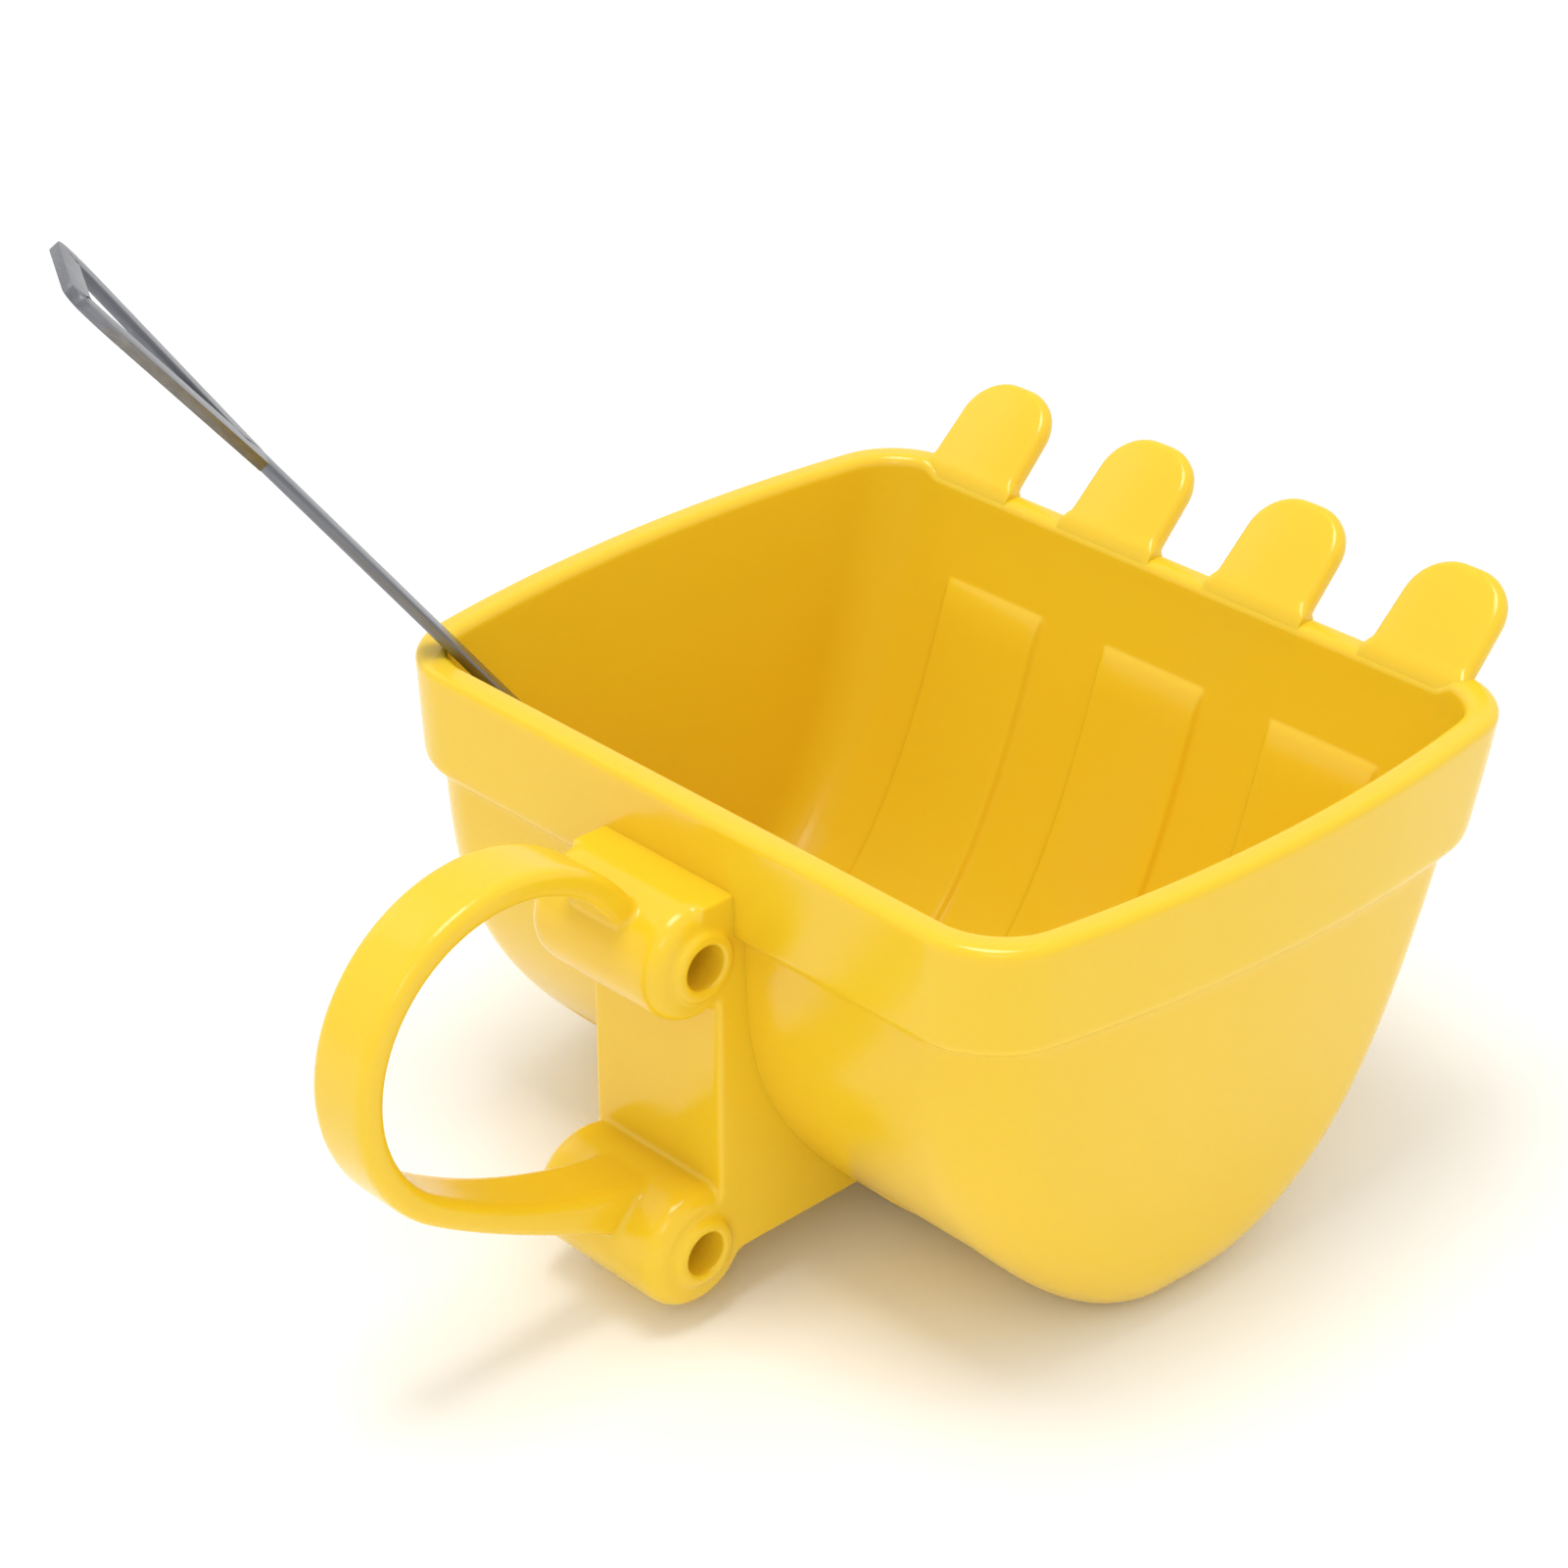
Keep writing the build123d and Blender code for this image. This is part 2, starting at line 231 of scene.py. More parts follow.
def cut_across(built: BMesh, spot: Sequence[float], normal: Sequence[float]) -> None:
    """Cut a line of new edges through a bmesh where a plane meets it."""
    bmesh.ops.bisect_plane(
        built, geom=[*built.verts, *built.edges, *built.faces], plane_co=spot, plane_no=normal, dist=1e-4
    )


def empty_material(name: str) -> bpy.types.Material:
    """Start a material that has no nodes."""
    material = bpy.data.materials.new(name)
    material.use_nodes = True
    material.node_tree.nodes.clear()
    return material


# ------------------------------------------------------------------ finishes
@dataclass(frozen=True)
class MouldedPolypropylene:
    """Glossy injection-moulded polypropylene, coloured through.

    Light goes a little way in, so that thin edges and bores glow a warmer yellow, and the polished mould
    leaves a gloss that is only just uneven.
    """

    name: str = "moulded_polypropylene_yellow"
    colour: str = "F0CB2C"
    warm_colour: str = "EEC622"
    roughness: float = 0.19
    glossier: float = 0.05      # the roughness varies between this much less
    duller: float = 0.07        # and this much more
    flow_mm: float = 38.0       # broad flow marks of the melt
    ripple_mm: float = 2.6      # faint ripple of the polished mould
    ripple_h_mm: float = 0.25
    ripple_strength: float = 0.035
    ior: float = 1.49
    glow: float = 0.22          # share of the light that goes in
    glow_mm: float = 2.2        # how far it goes, the red part furthest
    glow_reach: tuple[float, float, float] = (1.0, 0.55, 0.08)

    def make(self) -> bpy.types.Material:
        """Build the material."""
        material = empty_material(self.name)
        place = add_node(material, "ShaderNodeTexCoord")
        flow = add_node(
            material, "ShaderNodeTexNoise", {},
            {
                "Vector": place.outputs["Object"], "Scale": 1 / (self.flow_mm * MM),
                "Detail": 3.0, "Roughness": 0.5,
            },
        )
        tint = add_node(
            material, "ShaderNodeMix", {"data_type": "RGBA"},
            {0: flow.outputs["Fac"], 6: linear(self.colour), 7: linear(self.warm_colour)},
        )
        gloss = add_node(
            material, "ShaderNodeMapRange", {},
            {
                "Value": flow.outputs["Fac"],
                "To Min": self.roughness - self.glossier, "To Max": self.roughness + self.duller,
            },
        )
        ripple = add_node(
            material, "ShaderNodeTexNoise", {},
            {"Vector": place.outputs["Object"], "Scale": 1 / (self.ripple_mm * MM), "Detail": 2.0},
        )
        bump = add_node(
            material, "ShaderNodeBump", {},
            {
                "Height": ripple.outputs["Fac"],
                "Strength": self.ripple_strength, "Distance": self.ripple_h_mm * MM,
            },
        )
        shader = add_node(
            material, "ShaderNodeBsdfPrincipled", {"subsurface_method": "RANDOM_WALK"},
            {
                "Base Color": tint.outputs[2],
                "Roughness": gloss.outputs["Result"],
                "Normal": bump.outputs["Normal"],
                "IOR": self.ior,
                "Subsurface Weight": self.glow,
                "Subsurface Radius": self.glow_reach,
                "Subsurface Scale": self.glow_mm * MM,
            },
        )
        add_node(material, "ShaderNodeOutputMaterial", {}, {"Surface": shader.outputs["BSDF"]})
        return material


@dataclass(frozen=True)
class BrushedStainless:
    """Stainless sheet, stamped and then brushed along the spoon, so its sheen is streaked lengthwise."""

    name: str = "brushed_stainless_steel"
    colour: str = "8F9197"
    shade_colour: str = "6C6D72"
    roughness: float = 0.3
    glossier: float = 0.08      # the roughness varies between this much less
    duller: float = 0.1         # and this much more
    streak_mm: float = 0.5      # brush lines, coarser than real ones so that they show
    drawn_out: float = 0.04     # width of a streak as a share of its length
    streak_h_mm: float = 0.05
    streak_strength: float = 0.08
    along: Vector = field(default_factory=lambda: Vector((0, 0, 1)))

    def make(self) -> bpy.types.Material:
        """Build the material."""
        material = empty_material(self.name)
        place = add_node(material, "ShaderNodeTexCoord")
        turn = self.along.to_track_quat("Z", "Y").inverted().to_euler()
        laid = add_node(
            material, "ShaderNodeMapping", {},
            {"Vector": place.outputs["Object"], "Rotation": turn},
        )
        drawn = add_node(
            material, "ShaderNodeMapping", {},
            {"Vector": laid.outputs["Vector"], "Scale": (1.0, 1.0, self.drawn_out)},
        )
        streak = add_node(
            material, "ShaderNodeTexNoise", {},
            {
                "Vector": drawn.outputs["Vector"], "Scale": 1 / (self.streak_mm * MM),
                "Detail": 3.0, "Roughness": 0.6,
            },
        )
        tint = add_node(
            material, "ShaderNodeMix", {"data_type": "RGBA"},
            {0: streak.outputs["Fac"], 6: linear(self.colour), 7: linear(self.shade_colour)},
        )
        gloss = add_node(
            material, "ShaderNodeMapRange", {},
            {
                "Value": streak.outputs["Fac"],
                "To Min": self.roughness - self.glossier, "To Max": self.roughness + self.duller,
            },
        )
        bump = add_node(
            material, "ShaderNodeBump", {},
            {
                "Height": streak.outputs["Fac"],
                "Strength": self.streak_strength, "Distance": self.streak_h_mm * MM,
            },
        )
        shader = add_node(
            material, "ShaderNodeBsdfPrincipled", {},
            {
                "Base Color": tint.outputs[2],
                "Roughness": gloss.outputs["Result"],
                "Normal": bump.outputs["Normal"],
                "Metallic": 1.0,
            },
        )
        add_node(material, "ShaderNodeOutputMaterial", {}, {"Surface": shader.outputs["BSDF"]})
        return material


@dataclass(frozen=True)
class MattSweep:
    """Matt white paper that the mug stands on."""

    name: str = "white_paper_sweep"
    colour: str = "FCFCFC"

    def make(self) -> bpy.types.Material:
        """Build the material."""
        material = bpy.data.materials.new(self.name)
        material.use_nodes = True
        shader = material.node_tree.nodes["Principled BSDF"]
        shader.inputs["Base Color"].default_value = linear(self.colour)
        shader.inputs["Roughness"].default_value = 0.9
        shader.inputs["Specular IOR Level"].default_value = 0.2
        return material


# ------------------------------------------------------------------ form of the bucket
@dataclass
class BucketForm:
    """Smooth bucket: a curved side profile met by bulging side walls, with a round between them.

    All sizes are in millimetres, and are the CAD part's own.
    """

    rim_z: float = 65.9
    draft: float = 4.6
    edge_r: float = 8.8
    back_x: float = -38.0
    back_turn_z: float = 55.2
    rear_curve: tuple = ((-36.1, 32.0), (-22.6, 11.3))
    flat_back_x: float = -3.4
    flat_front_x: float = 3.8
    fore_curve: tuple = ((26.5, 9.7), (38.4, 27.0), (46.4, 48.8))
    front_x: float = 50.3
    lip_slope: float = 0.12
    side_back_y: float = 49.8
    side_mid_y: float = 55.2
    side_front_y: float = 51.4
    above: float = 12.0         # the profile's ends run on straight this far above the rim
    step: float = 0.1           # spacing of the points that stand for the profile
    eased_over: int = 7         # its direction is averaged over this many of them
    skip: int = 12              # the nearest one is sought among every so many first
    batch: int = 8000           # and for this many places at a time, to spare memory

    def __post_init__(self) -> None:
        """Lay out the side profile and the circle of the bulging sides."""
        rear = self._spline(
            [(self.back_x, self.back_turn_z), *self.rear_curve, (self.flat_back_x, 0.0)], (0, -1), (1, 0)
        )
        fore = self._spline(
            [(self.flat_front_x, 0.0), *self.fore_curve, (self.front_x, self.rim_z)],
            (1, 0), (self.lip_slope, 1),
        )
        top = self.rim_z + self.above
        start = np.array([[self.back_x, top]])
        end = np.array([[self.front_x + self.above * self.lip_slope, top]])
        line = np.concatenate([start, rear, fore, end])
        lengths = np.concatenate([[0], np.cumsum(np.linalg.norm(np.diff(line, axis=0), axis=1))])
        self.along = np.linspace(0, lengths[-1], int(lengths[-1] / self.step))
        self.line = np.stack([np.interp(self.along, lengths, line[:, i]) for i in (0, 1)], axis=1)
        heading = np.gradient(self.line, axis=0)
        kernel = np.ones(self.eased_over) / self.eased_over
        margin = self.eased_over // 2
        padded = np.pad(heading, ((margin, margin), (0, 0)), mode="edge")
        heading = np.stack([np.convolve(padded[:, i], kernel, mode="valid") for i in (0, 1)], axis=1)
        heading /= np.linalg.norm(heading, axis=1, keepdims=True)
        self.outward = np.stack([heading[:, 1], -heading[:, 0]], axis=1)
        points = [
            Vector((self.back_x, self.side_back_y)),
            Vector(((self.back_x + self.front_x) / 2, self.side_mid_y)),
            Vector((self.front_x, self.side_front_y)),
        ]
        self.circle_x, self.circle_y, self.circle_r = self._circle(*points)

    @staticmethod
    def _circle(first: Vector, second: Vector, third: Vector) -> tuple[float, float, float]:
        """Centre and radius of the circle through three points."""
        rows = np.array([[2 * (p.x - first.x), 2 * (p.y - first.y)] for p in (second, third)])
        sums = np.array([p.length_squared - first.length_squared for p in (second, third)])
        centre = np.linalg.solve(rows, sums)
        return centre[0], centre[1], float(np.hypot(first.x - centre[0], first.y - centre[1]))

    @staticmethod
    def _spline(knots: list, start: tuple, end: tuple, per_span: int = 200) -> np.ndarray:
        """Points on the smooth cubic spline through the knots.

        Args:
            knots: Points that the spline passes through.
            start: Direction at the first knot.
            end: Direction at the last one.
            per_span: Number of points from one knot to the next.

        Returns:
            Closely spaced points along the spline.
        """
        points = np.array(knots, float)
        gaps = np.linalg.norm(np.diff(points, axis=0), axis=1)
        count = len(points)
        system, sums = np.zeros((count, count)), np.zeros((count, 2))
        system[0, 0] = system[-1, -1] = 1
        sums[0] = np.array(start) / np.linalg.norm(start)
        sums[-1] = np.array(end) / np.linalg.norm(end)
        for i in range(1, count - 1):
            before, after = gaps[i - 1], gaps[i]
            system[i, i - 1:i + 2] = after, 2 * (before + after), before
            rise = after / before * (points[i] - points[i - 1]) + before / after * (points[i + 1] - points[i])
            sums[i] = 3 * rise
        slopes = np.linalg.solve(system, sums)
        drawn = []
        for i, gap in enumerate(gaps):
            share = np.linspace(0, 1, per_span, endpoint=i == count - 2)[:, None]
            drawn.append(
                (1 + 2 * share) * (1 - share) ** 2 * points[i]
                + share * (1 - share) ** 2 * gap * slopes[i]
                + share ** 2 * (3 - 2 * share) * points[i + 1]
                + share ** 2 * (share - 1) * gap * slopes[i + 1]
            )
        return np.concatenate(drawn)

    def profile_at_height(self, z: float, front: bool) -> float:
        """Length along the profile where it passes a height, at the back or at the front."""
        low = int(np.argmin(self.line[:, 1]))
        if front:
            return float(np.interp(z, self.line[low:, 1], self.along[low:]))
        return float(np.interp(z, self.line[:low, 1][::-1], self.along[:low][::-1]))

    def profile_point(self, along: np.ndarray) -> np.ndarray:
        """X and Z on the profile at lengths along it."""
        return np.stack([np.interp(along, self.along, self.line[:, i]) for i in (0, 1)], axis=-1)

    def half_width(self, x: np.ndarray, z: np.ndarray) -> np.ndarray:
        """Half width between the side walls at X and Z."""
        radius = self.circle_r - (self.rim_z - z) * tan(radians(self.draft))
        return self.circle_y + np.sqrt(np.maximum(radius ** 2 - (x - self.circle_x) ** 2, 0))

    def distance(self, points: np.ndarray, grow: np.ndarray) -> tuple[np.ndarray, np.ndarray]:
        """Distance of points outside the form grown by grow, and its gradient.

        Args:
            points: One row of X, Y and Z each.
            grow: How much larger all round the form is, for each point.

        Returns:
            The distances, and the directions in which they grow.
        """
        flat = points[:, (0, 2)]
        coarse = self.line[::self.skip]
        nearest = np.empty(len(flat), int)
        for start in range(0, len(flat), self.batch):
            part = flat[start:start + self.batch]
            gaps = (part[:, None, 0] - coarse[None, :, 0]) ** 2 + (part[:, None, 1] - coarse[None, :, 1]) ** 2
            nearest[start:start + self.batch] = gaps.argmin(1) * self.skip
        around = np.arange(-self.skip, self.skip + 1)
        reach = np.clip(nearest[:, None] + around[None, :], 0, len(self.line) - 1)
        gaps = ((flat[:, None, :] - self.line[reach]) ** 2).sum(2)
        nearest = reach[np.arange(len(flat)), gaps.argmin(1)]
        normal = self.outward[nearest]
        off_profile = ((flat - self.line[nearest]) * normal).sum(1) - grow
        slope = tan(radians(self.draft))
        side = np.where(points[:, 1] < 0, -1.0, 1.0)
        dx, dy = points[:, 0] - self.circle_x, np.abs(points[:, 1]) - self.circle_y
        radius = np.maximum(np.hypot(dx, dy), 1e-6)
        level = cos(radians(self.draft))
        off_side = (radius - self.circle_r + (self.rim_z - points[:, 2]) * slope) * level - grow
        to_side = np.stack([dx / radius, side * dy / radius, np.full(len(dx), -slope)], axis=1) * level
        to_profile = np.stack([normal[:, 0], np.zeros(len(dx)), normal[:, 1]], axis=1)
        edge = self.edge_r + np.minimum(grow, 0)
        a, b = np.maximum(off_profile + edge, 0), np.maximum(off_side + edge, 0)
        both = np.maximum(np.hypot(a, b), 1e-9)
        rounded = both - edge
        inside = (a <= 0) & (b <= 0)
        gradient = (a[:, None] * to_profile + b[:, None] * to_side) / both[:, None]
        nearer = off_profile > off_side
        distances = np.where(inside, np.maximum(off_profile, off_side), rounded)
        gradient[inside] = np.where(nearer[:, None], to_profile, to_side)[inside]
        return distances, gradient


# ------------------------------------------------------------------ vessel
@dataclass
class Vessel:
    """The mug's wall with its soft band, rolled rim, shallow channels and the strips inside them."""

    form: BucketForm
    wall: float = 2.1
    band_proud: float = 1.8
    band_h: float = 14.8
    band_tilt: float = 1.8
    rim_r: float = 1.2
    channel_depth: float = 0.9
    channel_w: float = 17.0
    channel_pitch: float = 28.3
    channel_count: int = 3
    channel_ease: float = 0.35  # half the width of the slope at a channel's edge
    edge_lines: tuple[float, ...] = (-0.45, -0.2, 0.2, 0.45)   # mesh lines beside each channel's edge
    column_gap: float = 2.2     # the others are about this far apart
    channel_back_z: float = 13.0
    ledge_z: float = 51.7
    land_half: float = 3.8      # the channels stop at the land that the mug stands on
    corner_z: float = 15.0      # the floor patch of the mesh meets the walls about this high
    lip_dip: float = 1.3        # the lip between the teeth lies this much below the rim
    root_dip: float = 1.3       # and is cut down by this much where a tooth grows out of it
    tooth_count: int = 4
    tooth_pitch: float = 25.3
    tooth_w: float = 15.2
    along_count: int = 54
    low_rows: int = 13
    high_rows: int = 7
    round_angles: tuple[int, ...] = (0, 22, 45, 67, 90)        # rows of a quarter round, in degrees
    corner_shares: tuple[float, ...] = (0.0, 0.1, 0.2, 0.3, 0.4, 0.5, 0.6, 0.69, 0.78, 0.86, 0.93, 1.0)
    rounds_of_pull: int = 7     # the mesh is pulled onto the form this many times

    def columns(self) -> np.ndarray:
        """Places across the mug of the mesh's lengthwise lines that stay straight."""
        marks = [0.0]
        for middle in spread(self.channel_count, self.channel_pitch):
            for edge in (middle - self.channel_w / 2, middle + self.channel_w / 2):
                marks += [edge + line for line in self.edge_lines]
        marks = sorted({round(m, 3) for m in marks if 0 <= m})
        filled = [marks[0]]
        for mark in marks[1:]:
            gap = mark - filled[-1]
            parts = max(1, round(gap / self.column_gap))
            filled += [filled[-1] + gap * (i + 1) / parts for i in range(parts)]
        return np.array(filled)

    def strip_share(self, y: np.ndarray) -> np.ndarray:
        """1 within a channel's width, 0 outside it."""
        share = np.zeros(len(y))
        half, ease = self.channel_w / 2, self.channel_ease
        for middle in spread(self.channel_count, self.channel_pitch):
            share = np.maximum(share, smoothstep(half + ease, half - ease, np.abs(y - middle)))
        return share

    def dip(self, y: np.ndarray, x: np.ndarray) -> np.ndarray:
        """How far the lip is lowered at the front."""
        half, middles = self.tooth_w / 2, spread(self.tooth_count, self.tooth_pitch)
        depth = self.lip_dip * smoothstep(middles[-1] + half + 0.6, middles[-1] + 2, np.abs(y))
        for middle in middles:
            root = smoothstep(half - 0.5, half - 2.2, np.abs(y - middle))
            depth = np.maximum(depth, self.root_dip * root)
        return depth * smoothstep(self.form.front_x - 8, self.form.front_x - 5, x)

    def rows(self, inner: bool) -> list[tuple[float, float, float]]:
        """Rows of the mesh above the floor patch.

        Args:
            inner: True for the inside skin.

        Returns:
            For each row, its share of the way up to the band's lower edge or the ledge, its share of the way
            from there to the rim, and how far the form is grown there.
        """
        base = -self.wall if inner else 0.0
        found = [((k + 1) / self.low_rows, 0.0, base) for k in range(self.low_rows)]
        turns = [radians(angle) for angle in self.round_angles]
        if inner:
            span = self.form.rim_z - self.ledge_z
            found += [(1.0, h / span, base) for h in (0.34, 0.67, 1.0)]
            first, outer = 2.4 / span, -self.wall
        else:
            span = self.band_h
            proud = self.band_proud
            found += [(1.0, proud * (1 - cos(t)) / span, proud * sin(t)) for t in turns[1:]]
            first, outer = (proud + 0.8) / span, proud
        last = 1 - (self.rim_r + 0.3) / span
        parts = self.high_rows - 1
        found += [(1.0, first + (last - first) * k / parts, outer) for k in range(self.high_rows)]
        inward = 1.0 if inner else -1.0
        for turn in turns:
            up = 1 - self.rim_r * (1 - sin(turn)) / span
            found.append((1.0, up, outer + inward * self.rim_r * (1 - cos(turn))))
        middle = (self.band_proud - self.wall) / 2
        found.append((1.0, 1.0, middle))
        return found

    def skin(self, inner: bool) -> BMesh:
        """One skin of the vessel, from a grid whose rim is extruded up row by row.

        Args:
            inner: True for the inside skin.

        Returns:
            The skin as a bmesh, open at the middle of the rim's flat top.
        """
        form = self.form
        straight = self.columns()
        corner_shares = np.array(self.corner_shares)
        half = len(straight) + len(corner_shares) - 2
        built = bmesh.new()
        bmesh.ops.create_grid(built, x_segments=self.along_count, y_segments=2 * half, size=1)
        level = {vert: 0 for vert in built.verts}
        edge_loop = [edge for edge in built.edges if edge.is_boundary]
        rows = self.rows(inner)
        for number in range(len(rows)):
            grown = bmesh.ops.extrude_edge_only(built, edges=edge_loop)["geom"]
            for vert in only(BMVert, grown):
                level[vert] = number + 1
            edge_loop = [edge for edge in only(BMEdge, grown) if edge.is_boundary]
        built.verts.index_update()
        u = np.array([vert.co.x for vert in built.verts])
        v = np.array([vert.co.y for vert in built.verts])
        rung = np.array([level[vert] for vert in built.verts])
        table = np.array([(0.0, 0.0, rows[0][2])] + rows)
        low, high, grow = table[rung].T

        start = form.profile_at_height(self.corner_z + 3, front=False)
        end = form.profile_at_height(self.corner_z, front=True)
        along = start + (u + 1) / 2 * (end - start)
        foot = form.profile_point(along)
        ends = form.profile_point(np.array([start, end]))
        share = (foot[:, 0] - ends[0, 0]) / (ends[1, 0] - ends[0, 0])
        top_x = form.back_x + share * (form.front_x - form.back_x)
        tilt = tan(radians(self.band_tilt))
        x = foot[:, 0] + (top_x - foot[:, 0]) * np.minimum(low, 1) ** 0.8
        turn_z = form.rim_z - self.band_h - (x - form.back_x) * tilt
        if inner:
            turn_z = np.full(len(x), self.ledge_z)
        z = foot[:, 1] + (turn_z - foot[:, 1]) * low
        z = np.where(high > 0, turn_z + (form.rim_z - turn_z) * high, z)
        if not inner:   # the rim is level, though the band's lower edge is tilted
            exact = form.rim_z - (1 - high) * self.band_h
            blend = smoothstep(0.5, 0.85, high)
            z = np.where(high > 0, z * (1 - blend) + exact * blend, z)

        place = np.clip(np.abs(v) * half, 0, half)
        column = np.round(place).astype(int)
        width = form.half_width(x, z)
        reach = straight[-1] + 0.6
        over = np.clip(column - (len(straight) - 1), 0, len(corner_shares) - 1)
        y = np.where(
            column < len(straight), straight[np.clip(column, 0, len(straight) - 1)],
            reach + (width - reach) * corner_shares[over],
        ) * np.sign(v)

        strip = self.strip_share(y)
        on_profile = np.abs(v) < 1
        if inner:
            fade = np.where(
                (u > 0.5), smoothstep(self.ledge_z + 0.5, self.ledge_z - 0.5, z),
                smoothstep(self.channel_back_z + 1, self.channel_back_z - 1, z),
            )
            fade = np.where((np.abs(u) < 1) & (u <= 0.5) & (x > 0), 1.0, fade)
        else:
            fade = np.where(u > 0, 1.0, smoothstep(self.channel_back_z + 1, self.channel_back_z - 1, z))
            fade = fade * (high <= 0) * smoothstep(self.land_half - 0.6, self.land_half + 0.6, np.abs(x))
        grow = grow - self.channel_depth * strip * fade * on_profile

        z = z - self.dip(y, x) * smoothstep(0.45, 1.0, high)
        points = np.stack([x, y, z], axis=1)
        # Low rows are pulled straight onto the form, and those above them only sideways.
        upright = smoothstep(0.1, 0.6, low)[:, None] * np.array([[0, 0, 1.0]])
        for _ in range(self.rounds_of_pull):
            distances, gradient = form.distance(points, grow)
            gradient = gradient * (1 - upright)
            size = np.maximum((gradient ** 2).sum(1), 0.2)
            points = points - (distances / size)[:, None] * gradient
        for vert, point in zip(built.verts, points):
            vert.co = point
        return built

    def build(self, plastic: bpy.types.Material) -> None:
        """Join the two skins at the rim and round everything off."""
        whole = self.skin(inner=False)
        inside = self.skin(inner=True)
        bmesh.ops.reverse_faces(inside, faces=inside.faces)
        carrier = bpy.data.meshes.new("inner_skin")
        inside.to_mesh(carrier)
        inside.free()
        whole.from_mesh(carrier)
        bpy.data.meshes.remove(carrier)
        rim = [vert for vert in whole.verts if vert.is_boundary]
        bmesh.ops.remove_doubles(whole, verts=rim, dist=0.05)
        bmesh.ops.recalc_face_normals(whole, faces=whole.faces)
        vessel = piece_from(whole, "vessel", smooth_angle=180)
        rounding = vessel.modifiers.new("moulded_rounding", "SUBSURF")
        rounding.levels = rounding.render_levels = 1
        settle(vessel, Body.MUG, plastic, ("bucket_shell", "rim_band"))


# ------------------------------------------------------------------ teeth
@dataclass
class Teeth:
    """Four rounded tongues that bend out of the front lip."""

    count: int = 4
    pitch: float = 25.3
    root_w: float = 15.2
    tip_w: float = 14.2
    tip_r: float = 5.9
    edge_r: float = 1.25
    bend: tuple[float, float] = (50.0, 64.4)   # X and Z where the middle plane turns outwards
    bend_half: float = 1.5                      # the turn takes this much on each side of it
    root_lean: float = 7.4
    tip_lean: float = 46.5
    root_t: float = 3.86
    tip_t: float = 2.9
    length: float = 14.75
    buried: float = 3.2
    sunk_t: float = 3.6         # the very root thins so that it sinks into the wall
    sunk_from: float = 1.2      # from this far below the bend
    bend_steps: int = 24
    cuts: int = 30              # a tongue is cut into this many lengths, for it to bend at
    foot_flare: float = 0.045   # the foot widens by this share

    def _bent(self, across: float, along: float, through: float) -> Vector:
        """Place of a point of the flat tongue once it is bent.

        Args:
            across: Distance from the tongue's middle line.
            along: Distance past the bend.
            through: -1 on the inner face, 1 on the outer face.

        Returns:
            The point in the mug's frame.
        """
        first, last = radians(self.root_lean), radians(self.tip_lean)
        x, z = self.bend
        turned = min(max((along + self.bend_half) / (2 * self.bend_half), 0), 1)
        if along < -self.bend_half or along > self.bend_half:
            lean = first if along < 0 else last
            x, z = x + along * sin(lean), z + along * cos(lean)
        else:
            x, z = x - self.bend_half * sin(first), z - self.bend_half * cos(first)
            part = (along + self.bend_half) / self.bend_steps
            for number in range(self.bend_steps):
                share = (number + 0.5) / self.bend_steps * turned
                lean = first + (last - first) * share
                x, z = x + part * sin(lean), z + part * cos(lean)
            lean = first + (last - first) * turned
        thick = self.root_t + (self.tip_t - self.root_t) * turned
        sunk = min(max((-along - self.sunk_from) / (self.buried - self.sunk_from), 0), 1)
        thick += (self.sunk_t - thick) * sunk
        return Vector((x + cos(lean) * thick / 2 * through, across, z - sin(lean) * thick / 2 * through))

    def build(self, plastic: bpy.types.Material) -> None:
        """Make the teeth one by one."""
        for number, middle in enumerate(reversed(spread(self.count, self.pitch)), 1):
            tongue = bmesh.new()
            outline = face_of(tongue, (
                (-self.root_w / 2, -self.buried, 0), (self.root_w / 2, -self.buried, 0),
                (self.root_w / 2, 0.4, 0), (self.tip_w / 2, self.length, 0),
                (-self.tip_w / 2, self.length, 0), (-self.root_w / 2, 0.4, 0),
            ))
            tips = [vert for vert in outline.verts if vert.co.y > self.length - 0.1]
            round_off(tongue, tips, self.tip_r, 12, Rounding.CORNERS)
            raise_faces(tongue, tongue.faces, (0, 0, 2))
            bmesh.ops.translate(tongue, verts=tongue.verts, vec=(0, 0, -1))
            bmesh.ops.recalc_face_normals(tongue, faces=tongue.faces)
            bmesh.ops.scale(tongue, vec=(1, 1, self.tip_t / 2), verts=tongue.verts)
            rims = [
                e for e in tongue.edges
                if abs(e.verts[0].co.z - e.verts[1].co.z) < 1e-6
                and max(v.co.y for v in e.verts) > -self.buried + 0.1
            ]
            round_off(tongue, rims, self.edge_r, 5)
            bmesh.ops.scale(tongue, vec=(1, 1, 2 / self.tip_t), verts=tongue.verts)
            for part in range(1, self.cuts):
                cut = -self.buried + part * (self.length + self.buried) / self.cuts
                cut_across(tongue, (0, cut, 0), (0, 1, 0))
            for vert in tongue.verts:
                x, y, z = vert.co
                square = 1 - float(smoothstep(-0.4, 1.8, np.array(y)))
                edge = self.root_w / 2 - self.edge_r
                full = min(max(z * 6, -1), 1)
                wide = x / abs(x) * self.root_w / 2 if abs(x) > edge + 0.02 else x
                z += (full - z) * square
                x += (wide - x) * square
                flare = 1 + self.foot_flare * max(0.0, 1 - max(y - 0.6, 0) / 1.6) ** 2
                vert.co = self._bent(x * flare + middle, y, z)
            piece = piece_from(tongue, f"tongue_{number}", 60)
            settle(piece, Body.MUG, plastic, (f"tooth_{number}",))


